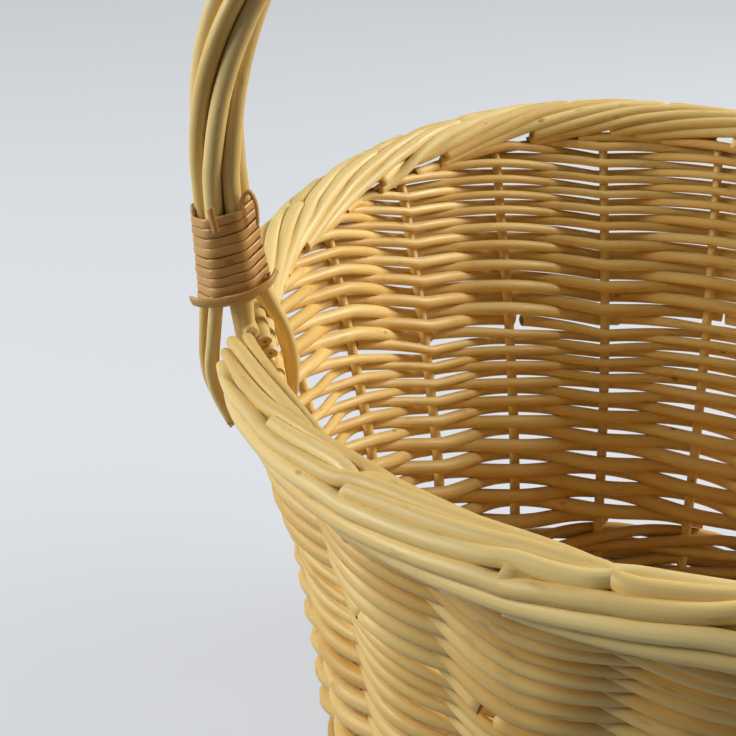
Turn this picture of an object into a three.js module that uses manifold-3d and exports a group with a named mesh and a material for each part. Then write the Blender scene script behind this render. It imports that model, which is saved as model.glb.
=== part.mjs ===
// Willow gift basket: an oval woven basket with a flared wall, a rolled border and a twisted hoop handle.
// Lengths are millimetres. X runs from one handle foot to the other, Y along the basket, Z up from the floor.
import * as THREE from "three";
import Module from "manifold-3d";

const wasm = await Module();
wasm.setup();

// Shape of the basket, measured on the middle of the wall
const rimHalfSpan = 160; // middle to the border's centre line at a handle foot
const rimHalfLength = 178; // middle to the border's centre line at the near and far sides
const baseHalfSpan = 125;
const baseHalfLength = 108;
const rimHeight = 195; // border's centre line above the floor, on average
const rimRise = 8; // the near and far sides stand this much above that, the handle sides this much below
const flareBendShare = 0.67; // how much of the flare comes late, near the rim

// Fit between pieces that touch
const fit = 0.35;
const cutOverrun = 2;

// Side stakes
const stakesPerHalf = 10;
const stakeButtRadius = 2.6;
const stakeTipRadius = 1.9;
const stakeFootReach = 22; // how far a stake's foot runs in under the base
const stakeBendRadius = 9;
const stakeStartShare = -0.04; // share of a space from the handle foot to the stake nearest to it

// Woven wall and the coarser wale at its foot
const weaveRows = 34;
const weaveRowLow = 5.5; // height of the lowest row and of the highest, before they are fitted to the wall
const weaveRowHigh = 4;
const weaverRadiusLow = 2.5;
const weaverRadiusHigh = 2.05;
const weaveCover = 1.2; // over a stake, where a row passes on its other side
const crossingLevels = 9; // points up the wall where the rows cross between two stakes
const rowLiftShare = 0.24; // of the wall's height, that the rows rise from the long sides to the handle
const fullLiftShare = 0.6; // of the wall's height, over which that rise is whole
const waleHeight = 26;
const waleCover = 4.4;
const wallLevelShares = [0, 0.33, 0.67, 1];
const waleSegments = 40;

// Rolled border
const borderRodRadius = 3.6;
const borderRodGap = 0.4; // between neighbouring rods
const borderRodsAlongHalf = 8;
const borderRodsAcross = 4; // rods met by one cut through the border
const borderStepsPerSpace = 3;
const borderRollStart = -Math.PI / 3; // low on the outside, where a rod rests on the wall
const borderRollTurn = (5 / 3) * Math.PI;

// Base
const baseFloorGap = 1.5; // under the cross sticks, which stand proud of the weave
const crossStickProud = 0.5;
const longStickRadius = 2.3;
const longStickGap = 0.6;
const longStickPlaces = [-1, 0, 1];
const slitCover = 1.9; // wood left over and under the slit of a cross stick
const crossStickShares = [-0.41, 0, 0.41]; // places along the base, shares of its half length
const stickEndGap = 2; // from a stick's end to the feet of the stakes
const baseSegments = 40;

// Handle
const bowRadius = 3.4;
const bowFootRadius = 2.7;
const bowFootDepth = 92; // how far the bow goes down the wall below the border's centre line
const bowSideGap = 1.6; // from the bow to the cut ends of the border rods
const bowStakeGap = 4.2; // from the bow to the stake beside it
const handleSpringHeight = 66; // above the border's centre line
const handleSpringOut = 6; // the hoop stands this much wider than the rim there
const handleArchRise = 128;
const strandCount = 6;
const strandRadius = 3.3;
const strandGap = 0.6;
const strandTurns = 10 / 6; // turns round the bow from foot to foot
const strandArchSteps = 20;
const strandGatherSpread = 1.3; // how much the strands have parted at the lowest turn of the binding

// Bindings of split willow round the handle feet
const bindingTurns = 9;
const bindingWidth = 2.9;
const bindingThickness = 1.1;
const bindingGap = 0.55; // between turns
const bindingSlack = 0.7; // between the strip and the strands
const bindingBottom = 20; // first turn above the border's centre line
const bindingTilt = 1.6; // the outer side hangs this much below the middle
const bindingStepsPerTurn = 14;

// Sizes that follow
const borderRodTurn = borderRollTurn / borderRodsAcross; // round the border, from one rod to the next
const borderRollRadius = (borderRodRadius + borderRodGap / 2) / Math.sin(borderRodTurn / 2);
const borderReach = borderRollRadius + borderRodRadius;
const borderRestDrop = -borderRollRadius * Math.sin(borderRollStart); // of a rod that rests on the wall
const wallTopDrop = borderRestDrop + borderRodRadius + fit;
const borderHandleGap = bowRadius + bowSideGap;
const stakeBesideHandle = bowRadius + stakeTipRadius + bowStakeGap;
const waleHalfThickness = stakeButtRadius + waleCover;
const crossStickRadius = longStickRadius + slitCover;
const longStickPitch = 2 * longStickRadius + longStickGap;
const baseHalfThickness = crossStickRadius - crossStickProud;
const baseMiddleZ = baseFloorGap + crossStickRadius;
const baseEdge = waleHalfThickness + fit;
const strandLayRadius = Math.max(bowRadius + strandRadius, 2 * strandRadius) + strandGap;
const bindingPitch = bindingWidth + bindingGap;
const bindingTopRadius = strandLayRadius + strandRadius + bindingSlack + bindingThickness / 2;
const bindingBottomRadius = bindingTopRadius + strandGatherSpread;

const rodSides = 6;

// Shape of the ring

function rimZ(angle) {
  return rimHeight - rimRise * Math.cos(2 * angle);
}

// A point of the wall at a height, moved outwards by a distance along the level ring's normal.
function wallPoint(angle, z, outward) {
  const down = 1 - z / rimZ(angle);
  const flare = down * (1 + flareBendShare) - flareBendShare * down * down;
  const halfSpan = rimHalfSpan - (rimHalfSpan - baseHalfSpan) * flare;
  const halfLength = rimHalfLength - (rimHalfLength - baseHalfLength) * flare;
  const normal = new THREE.Vector3(halfLength * Math.cos(angle), halfSpan * Math.sin(angle), 0).normalize();
  return new THREE.Vector3(halfSpan * Math.cos(angle), halfLength * Math.sin(angle), z).addScaledVector(
    normal,
    outward,
  );
}

// Distance along the rim from the handle foot at -X, counterclockwise seen from above, against the angle.
const rimSamples = 720;
const rimLengths = [0];
for (let i = 1; i <= rimSamples; i += 1) {
  const before = wallPoint(Math.PI + (2 * Math.PI * (i - 1)) / rimSamples, rimHeight, 0).setZ(0);
  const after = wallPoint(Math.PI + (2 * Math.PI * i) / rimSamples, rimHeight, 0).setZ(0);
  rimLengths.push(rimLengths[i - 1] + before.distanceTo(after));
}
const rimLength = rimLengths[rimSamples];
const halfRimLength = rimLength / 2;

function angleAt(distance) {
  const turns = Math.floor(distance / rimLength);
  const along = distance - turns * rimLength;
  let low = 0;
  let high = rimSamples;
  while (high - low > 1) {
    const middle = Math.floor((low + high) / 2);
    if (rimLengths[middle] <= along) low = middle;
    else high = middle;
  }
  const share = (along - rimLengths[low]) / (rimLengths[high] - rimLengths[low]);
  return Math.PI + 2 * Math.PI * (turns + (low + share) / rimSamples);
}

// A point round the border's centre line: roll 0 is outside, a quarter turn is the top and half a turn
// is the inside.
function borderPoint(distance, roll, reach) {
  const angle = angleAt(distance);
  const outward = reach * Math.cos(roll);
  const point = wallPoint(angle, rimZ(angle), outward);
  point.z += reach * Math.sin(roll);
  return point;
}

// Solids

function solidFrom(points, triangles) {
  const vertProperties = new Float32Array(points.flatMap((point) => [point.x, point.y, point.z]));
  const triVerts = new Uint32Array(triangles);
  return new wasm.Manifold(new wasm.Mesh({ numProp: 3, vertProperties, triVerts }));
}

function geometryFrom(solid) {
  const mesh = solid.getMesh();
  const geometry = new THREE.BufferGeometry();
  const places = new Float32Array(mesh.vertProperties);
  geometry.setAttribute("position", new THREE.BufferAttribute(places, mesh.numProp));
  geometry.setIndex(new THREE.BufferAttribute(new Uint32Array(mesh.triVerts), 1));
  return geometry;
}

// Joins equal rings of points into a tube with flat ends.
function tubeFromRings(rings) {
  const sides = rings[0].length;
  const triangles = [];
  for (let i = 0; i + 1 < rings.length; i += 1) {
    for (let j = 0; j < sides; j += 1) {
      const a = i * sides + j;
      const b = i * sides + ((j + 1) % sides);
      triangles.push(a, b, b + sides, a, b + sides, a + sides);
    }
  }
  const last = (rings.length - 1) * sides;
  for (let j = 1; j + 1 < sides; j += 1) {
    triangles.push(0, j + 1, j, last, last + j, last + j + 1);
  }
  return solidFrom(rings.flat(), triangles);
}

// A round rod along a row of points. radiusAt takes the share of the way along and gives the radius there.
function rod(points, radiusAt) {
  const rings = [];
  let across = null;
  points.forEach((point, i) => {
    const before = points[Math.max(i - 1, 0)];
    const after = points[Math.min(i + 1, points.length - 1)];
    const ahead = after.clone().sub(before).normalize();
    if (!across) across = new THREE.Vector3(ahead.y, ahead.z, ahead.x).cross(ahead);
    across.addScaledVector(ahead, -across.dot(ahead)).normalize();
    const aside = ahead.clone().cross(across);
    const radius = radiusAt(i / (points.length - 1));
    const ring = [];
    for (let j = 0; j < rodSides; j += 1) {
      const turn = (2 * Math.PI * j) / rodSides;
      const corner = point.clone().addScaledVector(across, radius * Math.cos(turn));
      ring.push(corner.addScaledVector(aside, radius * Math.sin(turn)));
    }
    rings.push(ring);
  });
  return tubeFromRings(rings);
}

// Joins equal outlines of points into a closed ring round the basket.
function ringFrom(outlines) {
  const corners = outlines[0].length;
  const triangles = [];
  outlines.forEach((outline, i) => {
    const next = (i + 1) % outlines.length;
    for (let j = 0; j < corners; j += 1) {
      const k = (j + 1) % corners;
      const a = i * corners + j;
      const b = i * corners + k;
      const c = next * corners + k;
      const d = next * corners + j;
      triangles.push(a, d, c, a, c, b);
    }
  });
  return solidFrom(outlines.flat(), triangles);
}

// The same line with its first and last stretch made longer, or shorter for a length below zero.
function lengthened(points, atStart, atEnd) {
  const line = points.map((point) => point.clone());
  const last = line.length - 1;
  const startWay = points[0].clone().sub(points[1]).normalize();
  const endWay = points[last].clone().sub(points[last - 1]).normalize();
  line[0].addScaledVector(startWay, atStart);
  line[last].addScaledVector(endWay, atEnd);
  return line;
}

function taper(first, last) {
  return (share) => first + (last - first) * share;
}

// Pieces

const basket = new THREE.Group();
const halves = [new THREE.Group(), new THREE.Group()];
halves[1].rotation.z = Math.PI;
halves.forEach((half) => basket.add(half));

const creamWillow = { color: 0xe6cf95, roughness: 0.55, metalness: 0 };
const goldWillow = { color: 0xd2b06a, roughness: 0.6, metalness: 0 };
const splitWillow = { color: 0xb9895a, roughness: 0.45, metalness: 0 };

function addPiece(parent, name, solid, finish) {
  const mesh = new THREE.Mesh(geometryFrom(solid), new THREE.MeshStandardMaterial(finish));
  mesh.name = name;
  parent.add(mesh);
}

function numbered(name, half, index) {
  return `${name}_${half === 0 ? "near" : "far"}_${String(index + 1).padStart(2, "0")}`;
}

// Side stakes: a foot under the base, a bend, and a straight run up the middle of the wall
const stakeSpacing = halfRimLength / stakesPerHalf;

function wallHeightAt(angle, share) {
  const low = waleHeight + fit;
  return low + (rimZ(angle) - wallTopDrop - low) * share;
}

function stakePlace(index) {
  const besideHandle = index % stakesPerHalf === 0;
  return besideHandle ? index * stakeSpacing - stakeBesideHandle : (index + stakeStartShare) * stakeSpacing;
}

function stakeLine(index) {
  const angle = angleAt(stakePlace(index));
  const bendStart = wallPoint(angle, baseMiddleZ, -stakeBendRadius);
  const bendMiddle = wallPoint(angle, baseMiddleZ + stakeBendRadius * (1 - Math.SQRT1_2), 0);
  const inwards = wallPoint(angle, bendMiddle.z, -1).sub(bendMiddle);
  bendMiddle.addScaledVector(inwards, stakeBendRadius * (1 - Math.SQRT1_2));
  const line = [wallPoint(angle, baseMiddleZ, -stakeFootReach), bendStart, bendMiddle];
  line.push(wallPoint(angle, baseMiddleZ + stakeBendRadius, 0));
  wallLevelShares.forEach((share) => line.push(wallPoint(angle, wallHeightAt(angle, share), 0)));
  return lengthened(line, 0, -fit);
}

const stakeSolids = [];
const stakeRoom = [];
for (let i = 0; i < stakesPerHalf; i += 1) {
  const line = stakeLine(i);
  stakeSolids.push(rod(line, taper(stakeButtRadius, stakeTipRadius)));
  const open = lengthened(line, fit, cutOverrun);
  stakeRoom.push(rod(open, taper(stakeButtRadius + fit, stakeTipRadius + fit)));
}
const turnHalf = (solid) => solid.rotate([0, 0, 180]);
const allStakeRoom = wasm.Manifold.union([...stakeRoom, ...stakeRoom.map(turnHalf)]);
halves.forEach((half, side) => {
  stakeSolids.forEach((solid, i) => addPiece(half, numbered("side_stake", side, i), solid, goldWillow));
});

// Bow of the handle: down in the wall at one foot, up over the arch and down in the wall at the other
const footAngle = Math.PI;
const footZ = rimZ(footAngle);
const springZ = footZ + handleSpringHeight;
const springX = rimHalfSpan + handleSpringOut;
const bowWallShares = [1, 0.62, 0.3, 0.1];
const bowLine = bowWallShares.map((share) => wallPoint(footAngle, footZ - bowFootDepth * share, 0));
const bowRiseShares = [0, 0.4, 0.75];
bowRiseShares.forEach((share) => {
  const out = rimHalfSpan + handleSpringOut * Math.sin((share * Math.PI) / 2);
  bowLine.push(new THREE.Vector3(-out, 0, footZ + handleSpringHeight * share));
});
const archSteps = 8;
for (let i = 0; i <= archSteps; i += 1) {
  const turn = (Math.PI * i) / (2 * archSteps);
  bowLine.push(new THREE.Vector3(-springX * Math.cos(turn), 0, springZ + handleArchRise * Math.sin(turn)));
}
const mirrored = bowLine.slice(0, -1).reverse();
mirrored.forEach((point) => bowLine.push(new THREE.Vector3(-point.x, 0, point.z)));
const bowCurve = new THREE.CatmullRomCurve3(bowLine, false, "centripetal");
const bowAt = (share) => bowCurve.getPointAt(share);

// The share of the bow's length at which it reaches a height above the border's centre line.
function shareAtHeight(height) {
  let low = 0;
  let high = 1 / 2;
  while (high - low > 1 / rimSamples / rimSamples) {
    const middle = (low + high) / 2;
    if (bowAt(middle).z < footZ + height) low = middle;
    else high = middle;
  }
  return low;
}

const bindingTop = bindingBottom + bindingPitch * bindingTurns;
const leadShare = shareAtHeight(bindingTop);
const archShareAt = (step) => leadShare + ((1 - 2 * leadShare) * step) / strandArchSteps;
const bowFootShares = [0, 0.25, 0.5, 0.7, 0.85].map((share) => share * leadShare);
const bowShares = [...bowFootShares];
for (let i = 0; i <= strandArchSteps; i += 1) bowShares.push(archShareAt(i));
bowFootShares.reverse().forEach((share) => bowShares.push(1 - share));
const bowPoints = bowShares.map(bowAt);
const bowThinning = (share) => Math.max(0, 1 - Math.min(share, 1 - share) / leadShare);
const bowRadii = bowShares.map((share) => bowRadius + (bowFootRadius - bowRadius) * bowThinning(share));
const radiusFrom = (radii, extra) => (share) => radii[Math.round(share * (radii.length - 1))] + extra;
addPiece(basket, "handle_bow", rod(bowPoints, radiusFrom(bowRadii, 0)), creamWillow);
const bowRoom = rod(lengthened(bowPoints, fit, fit), radiusFrom(bowRadii, fit));

// Strands laid round the bow, which part below the binding and pass outside and inside the border.
// Their feet are listed from the top down: the place of each point above the border's centre line, out from
// the line of the wall, and along it, with the share that still follows the round of the bundle.
const strandClearOut = borderReach + strandRadius + fit;
const strandGatherOut = strandLayRadius + strandGatherSpread;
const bindingMiddle = bindingBottom + (bindingPitch * bindingTurns) / 2;
const strandGatherHeight = bindingBottom - bindingTilt - bindingWidth;
const footDropShares = [0.6, 0, -0.78, -1.45];
const footOutShares = [0.98, 1.05, 0.99, 0.74];
const footInShares = [1.02, 1.12, 1.12, 1.2];
const lengthsOf = (shares, whole) => shares.map((share) => share * whole);
const strandFootHeights = [bindingMiddle, strandGatherHeight, ...lengthsOf(footDropShares, borderReach)];
const strandFootOut = [strandLayRadius, strandGatherOut, ...lengthsOf(footOutShares, strandClearOut)];
const strandFootIn = [strandLayRadius, strandGatherOut, ...lengthsOf(footInShares, strandClearOut)];
const strandSideShares = [1, 1.04, 1.1, 1.12, 1.12, 1.12];
const strandRoundShares = [1, 0.75, 0.15, 0, 0, 0];

function strandPoint(share, turn) {
  const centre = bowAt(share);
  const ahead = bowCurve.getTangentAt(share);
  const outward = new THREE.Vector3(-ahead.z, 0, ahead.x);
  const point = centre.clone().addScaledVector(outward, strandLayRadius * Math.cos(turn));
  point.y -= strandLayRadius * Math.sin(turn);
  return point;
}

// The foot of a strand at -X, from its lowest point up; turn is its place round the bow where it spreads.
function strandFoot(turn) {
  const outside = Math.cos(turn) > 0;
  const outs = outside ? strandFootOut : strandFootIn;
  const points = strandFootHeights.map((height, i) => {
    const centre = height > 0 ? bowAt(shareAtHeight(height)).x : -rimHalfSpan;
    const roundness = 1 - strandRoundShares[i] * (1 - Math.abs(Math.cos(turn)));
    const out = outs[i] * roundness * (outside ? 1 : -1);
    const aside = strandLayRadius * Math.sin(turn) * strandSideShares[i];
    return new THREE.Vector3(centre - out, -aside, footZ + height);
  });
  return points.reverse();
}

for (let i = 0; i < strandCount; i += 1) {
  const turn = (2 * Math.PI * i) / strandCount;
  const endTurn = turn + 2 * Math.PI * strandTurns;
  const line = strandFoot(turn);
  for (let j = 0; j <= strandArchSteps; j += 1) {
    line.push(strandPoint(archShareAt(j), turn + ((endTurn - turn) * j) / strandArchSteps));
  }
  strandFoot(endTurn)
    .reverse()
    .forEach((point) => line.push(new THREE.Vector3(-point.x, point.y, point.z)));
  addPiece(basket, `handle_strand_${i + 1}`, rod(line, () => strandRadius), creamWillow);
}

// Border rods: each starts outside, rolls over the top as it runs along the rim, and dives on the inside
const borderSpace = halfRimLength / borderRodsAlongHalf;
const borderSteps = borderRodsAcross * borderStepsPerSpace;

function borderRodLine(index) {
  const start = index * borderSpace;
  const line = [];
  for (let i = 0; i <= borderSteps; i += 1) {
    const share = i / borderSteps;
    const distance = start + share * borderRodsAcross * borderSpace;
    const kept = Math.min(Math.max(distance, borderHandleGap), halfRimLength - borderHandleGap);
    const keptShare = (kept - start) / (borderRodsAcross * borderSpace);
    const beyond = Math.abs(kept - distance) >= borderSpace / borderStepsPerSpace;
    if (!beyond) line.push(borderPoint(kept, borderRollStart + borderRollTurn * keptShare, borderRollRadius));
  }
  return line;
}

halves.forEach((half, side) => {
  for (let i = 1 - borderRodsAcross; i < borderRodsAlongHalf; i += 1) {
    const solid = rod(borderRodLine(i), () => borderRodRadius);
    addPiece(half, numbered("border_rod", side, i + borderRodsAcross - 1), solid, creamWillow);
  }
});

// Woven wall: rows that pass outside one stake and inside the next, and cross half way between them.
// A row that is outside one stake is raised there, and sunk at the next, with the rows above and below the
// other way round. The bow's end and the stake beside it are passed together.
const rowHeightAt = taper(weaveRowLow, weaveRowHigh);
const rowEdges = [0];
for (let row = 0; row < weaveRows; row += 1) {
  rowEdges.push(rowEdges[row] + rowHeightAt(row / (weaveRows - 1)));
}
const rowShares = rowEdges.slice(1).map((edge, row) => (rowEdges[row] + edge) / 2 / rowEdges[weaveRows]);
const crossingShares = [];
for (let i = 0; i < crossingLevels; i += 1) crossingShares.push(i / (crossingLevels - 1));
const weaverRadiusAt = taper(weaverRadiusLow, weaverRadiusHigh);

// Rows as shares of the wall's height at an angle. The top ones end under the border on their way to the
// handle, and the lowest and the highest one left reach the edges of the wall.
function rowSharesAt(angle) {
  const lifted = rowShares.map((share) => {
    const lift = rowLiftShare * Math.min(1, share / fullLiftShare);
    return share + lift * Math.cos(angle) ** 2;
  });
  const kept = lifted.filter((share) => share < 1);
  kept[0] = 0;
  kept[kept.length - 1] = 1;
  return kept;
}

function weaveColumn(angle, shares, outAt, inAt) {
  const heights = shares.map((share) => wallHeightAt(angle, share));
  const outer = heights.map((z, i) => wallPoint(angle, z, outAt(shares[i], i)));
  const inner = heights.map((z, i) => wallPoint(angle, z, -inAt(shares[i], i)));
  return { shares, outer, inner };
}

function passingColumn(distance, evenRowsOutside, bodyRadiusAt) {
  const reachWhere = (raised) => (share, row) => {
    const body = bodyRadiusAt(share) + fit;
    return (row % 2 === 0) === raised ? body + 2 * weaverRadiusAt(share) : body + weaveCover;
  };
  const angle = angleAt(distance);
  return weaveColumn(angle, rowSharesAt(angle), reachWhere(evenRowsOutside), reachWhere(!evenRowsOutside));
}

const weaveColumns = [];
for (let i = 0; i < 2 * stakesPerHalf; i += 1) {
  const index = i % stakesPerHalf;
  const start = i < stakesPerHalf ? 0 : halfRimLength;
  const besideHandle = index === 0;
  const evenRowsOutside = i % 2 === 0;
  const place = start + stakePlace(index);
  weaveColumns.push(passingColumn(place, evenRowsOutside, taper(stakeButtRadius, stakeTipRadius)));
  if (besideHandle) weaveColumns.push(passingColumn(start, evenRowsOutside, () => bowRadius));
  const crossing = ((besideHandle ? start : place) + start + stakePlace(index + 1)) / 2;
  weaveColumns.push(weaveColumn(angleAt(crossing), crossingShares, weaverRadiusAt, weaverRadiusAt));
}

// Triangles between two columns of numbered points, each with its shares of the height from the bottom up.
function stitched(first, firstShares, second, secondShares) {
  const triangles = [];
  const middleAbove = (shares, i) => (i + 1 < shares.length ? shares[i] + shares[i + 1] : Infinity);
  let i = 0;
  let j = 0;
  while (i + 1 < first.length || j + 1 < second.length) {
    if (middleAbove(firstShares, i) <= middleAbove(secondShares, j)) {
      triangles.push([first[i], second[j], first[i + 1]]);
      i += 1;
    } else {
      triangles.push([first[i], second[j], second[j + 1]]);
      j += 1;
    }
  }
  return triangles;
}

function weaveSolid(columns) {
  const points = [];
  const number = (point) => points.push(point) - 1;
  const numberedColumns = columns.map(({ shares, outer, inner }) => {
    return { shares, outer: outer.map(number), inner: inner.map(number) };
  });
  const triangles = [];
  numberedColumns.forEach((here, i) => {
    const next = numberedColumns[(i + 1) % numberedColumns.length];
    const outerFace = stitched(here.outer, here.shares, next.outer, next.shares);
    const innerFace = stitched(here.inner, here.shares, next.inner, next.shares);
    triangles.push(...outerFace, ...innerFace.map((corners) => corners.reverse()));
    const foot = [here.outer[0], here.inner[0], next.inner[0], next.outer[0]];
    const top = [here.outer, next.outer, next.inner, here.inner].map((line) => line[line.length - 1]);
    [foot, top].forEach(([a, b, c, d]) => triangles.push([a, b, c], [a, c, d]));
  });
  return solidFrom(points, triangles.flat());
}

const wall = weaveSolid(weaveColumns);
addPiece(basket, "wall_weave", wall.subtract(allStakeRoom).subtract(bowRoom), goldWillow);

// Wale: a band with room for the stakes
function bandOutline(angle, heights, halfThickness) {
  const outer = heights.map((z) => wallPoint(angle, z, halfThickness));
  const inner = heights.map((z) => wallPoint(angle, z, -halfThickness));
  return [...outer, ...inner.reverse()];
}

const waleHeights = [0, waleHeight];
const waleRings = [];
for (let i = 0; i < waleSegments; i += 1) {
  waleRings.push(bandOutline((2 * Math.PI * i) / waleSegments, waleHeights, waleHalfThickness));
}
const wale = ringFrom(waleRings);
addPiece(basket, "foot_wale", wale.subtract(allStakeRoom), goldWillow);

// Base: sticks laid both ways, the long ones through slits in the cross ones, in a flat woven oval

// A stick that stands off the middle ends where its far corner still keeps the gap to the feet.
function stickLine(offset, radius, lengthways) {
  const halfWidth = baseHalfSpan - stakeFootReach - stickEndGap;
  const halfDepth = baseHalfLength - stakeFootReach - stickEndGap;
  const aside = Math.abs(offset) + radius;
  const reach = lengthways
    ? halfDepth * Math.sqrt(1 - (aside / halfWidth) ** 2)
    : halfWidth * Math.sqrt(1 - (aside / halfDepth) ** 2);
  const end = (sign) =>
    lengthways
      ? new THREE.Vector3(offset, sign * reach, baseMiddleZ)
      : new THREE.Vector3(sign * reach, offset, baseMiddleZ);
  return [end(-1), end(1)];
}

const longLines = longStickPlaces.map((place) => stickLine(place * longStickPitch, longStickRadius, true));
const crossPlaces = crossStickShares.map((share) => share * baseHalfLength);
const crossLines = crossPlaces.map((place) => stickLine(place, crossStickRadius, false));
const longSticks = longLines.map((line) => rod(line, () => longStickRadius));
const longRoom = wasm.Manifold.union(longLines.map((line) => rod(line, () => longStickRadius + fit)));
const crossSticks = crossLines.map((line) => rod(line, () => crossStickRadius).subtract(longRoom));
const crossRoom = crossLines.map((line) => rod(line, () => crossStickRadius + fit));
longSticks.forEach((solid, i) => addPiece(basket, `base_long_stick_${i + 1}`, solid, goldWillow));
crossSticks.forEach((solid, i) => addPiece(basket, `base_cross_stick_${i + 1}`, solid, goldWillow));

function discFrom(bottomZ, topZ, segments) {
  const rings = [bottomZ, topZ].map((z) => {
    const ring = [];
    for (let i = 0; i < segments; i += 1) {
      ring.push(wallPoint((2 * Math.PI * i) / segments, z, -baseEdge));
    }
    return ring;
  });
  return tubeFromRings(rings);
}

const baseDisc = discFrom(baseMiddleZ - baseHalfThickness, baseMiddleZ + baseHalfThickness, baseSegments);
const sticksRoom = wasm.Manifold.union([longRoom, ...crossRoom]);
addPiece(basket, "base_weave", baseDisc.subtract(sticksRoom).subtract(allStakeRoom), goldWillow);

// Binding: one flat strip wound round the foot of the handle, its two ends straight
function bindingCentre(turns) {
  const share = turns / bindingTurns;
  const turn = 2 * Math.PI * turns;
  const radius = bindingBottomRadius + (bindingTopRadius - bindingBottomRadius) * share;
  const height = bindingBottom + bindingPitch * turns;
  const axisX = bowAt(shareAtHeight(height)).x;
  const z = footZ + height - bindingTilt * Math.cos(turn);
  return new THREE.Vector3(axisX - radius * Math.cos(turn), -radius * Math.sin(turn), z);
}

const bindingSteps = bindingTurns * bindingStepsPerTurn;
const bindingPoints = [];
for (let i = 0; i <= bindingSteps; i += 1) bindingPoints.push(bindingCentre(i / bindingStepsPerTurn));
const endLength = bindingWidth;
const firstWay = bindingPoints[0].clone().sub(bindingPoints[1]).normalize();
const lastWay = bindingPoints[bindingSteps].clone().sub(bindingPoints[bindingSteps - 1]).normalize();
bindingPoints.unshift(bindingPoints[0].clone().addScaledVector(firstWay, endLength));
bindingPoints.push(bindingPoints[bindingSteps + 1].clone().addScaledVector(lastWay, endLength));

const stripWidthShares = [0.5, 0.33, -0.33, -0.5, -0.33, 0.33];
const stripThicknessShares = [0, -0.5, -0.5, 0, 0.5, 0.5];

function bindingRing(point, i) {
  const before = bindingPoints[Math.max(i - 1, 0)];
  const after = bindingPoints[Math.min(i + 1, bindingPoints.length - 1)];
  const ahead = after.clone().sub(before).normalize();
  const axis = new THREE.Vector3(bowAt(shareAtHeight(point.z - footZ)).x, 0, point.z);
  const outward = point.clone().sub(axis).setZ(0).normalize();
  const along = ahead.clone().cross(outward).normalize();
  return stripWidthShares.map((share, j) =>
    point
      .clone()
      .addScaledVector(along, bindingWidth * share)
      .addScaledVector(outward, bindingThickness * stripThicknessShares[j]),
  );
}

const bindingRings = bindingPoints.map(bindingRing);
const binding = tubeFromRings(bindingRings);
halves.forEach((half, side) => {
  addPiece(half, side === 0 ? "binding_left" : "binding_right", binding, splitWillow);
});

// Least gap of the binding to itself, corner to corner between stretches more than half a turn apart
let leastGap = Infinity;
bindingRings.forEach((ring, i) => {
  bindingRings.slice(i + Math.ceil(bindingStepsPerTurn / 2)).forEach((other) => {
    ring.forEach((corner) => {
      other.forEach((far) => {
        leastGap = Math.min(leastGap, corner.distanceTo(far));
      });
    });
  });
});
console.log(`binding: least gap to itself ${leastGap.toFixed(2)} mm`);

export default basket;
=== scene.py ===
"""Willow gift basket: every rod of the woven wall, base, border and handle, laid one by one.

Lengths are millimetres and become metres when a mesh is made. A distance runs along the rim from the
left handle foot, counterclockwise seen from above. A roll of 0 is the outside of the border, 90 its top
and 180 its inside.
"""

import math

import bpy
import numpy as np
from mathutils import Matrix, Vector


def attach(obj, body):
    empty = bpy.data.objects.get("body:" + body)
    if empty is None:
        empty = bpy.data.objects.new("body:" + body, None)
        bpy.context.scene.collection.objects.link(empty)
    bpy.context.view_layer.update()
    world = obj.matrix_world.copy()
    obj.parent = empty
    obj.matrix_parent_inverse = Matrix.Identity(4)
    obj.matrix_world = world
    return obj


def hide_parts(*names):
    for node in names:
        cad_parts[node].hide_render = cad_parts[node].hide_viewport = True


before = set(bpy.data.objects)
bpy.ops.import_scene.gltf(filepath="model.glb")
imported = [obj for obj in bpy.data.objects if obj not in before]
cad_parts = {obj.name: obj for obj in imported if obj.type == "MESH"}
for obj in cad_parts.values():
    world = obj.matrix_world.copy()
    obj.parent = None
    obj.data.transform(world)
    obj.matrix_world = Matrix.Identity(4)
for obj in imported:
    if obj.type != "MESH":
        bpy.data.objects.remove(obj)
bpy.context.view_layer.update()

MM = 0.001

# Shape of the basket, as in the frame
RIM_HALF_SPAN = 160
RIM_HALF_LENGTH = 178
BASE_HALF_SPAN = 125
BASE_HALF_LENGTH = 108
RIM_HEIGHT = 195
RIM_RISE = 8
FLARE_BEND = 0.67
HALVES = 2
STAKES_PER_HALF = 10
STAKES = HALVES * STAKES_PER_HALF
STAKE_START = -0.04
STAKE_BESIDE_HANDLE = 9.5
STAKE_BUTT = 2.5
STAKE_TIP = 2.0
STAKE_FOOT = 22
STAKE_BEND = 9
STAKE_TOP_LEAD = 78
STAKE_LEAST_LEAD = 8
STAKE_SHORT_OF_FOOT = 22
STAKE_PLACES = 7
STAKE_WANDER = 0.3
STAKE_NECK = 1.7
STAKE_END = 1.1
STAKE_TAPER_SHARES = (0, 0.7, 0.78, 1)
# The tip's way into the border: share of its lead, then outwards and up from the border's centre line
STAKE_TIP_WAY = ((0.03, -0.3, -6.2), (0.12, -1.2, -2.6), (0.3, -1.8, -0.5), (0.65, 0.4, 0.8), (1, 1.9, 0.2))
WALE_HEIGHT = 26
WALL_TOP_DROP = 9.36
BASE_MIDDLE = 5.7
BASE_EDGE = 7.4

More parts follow.
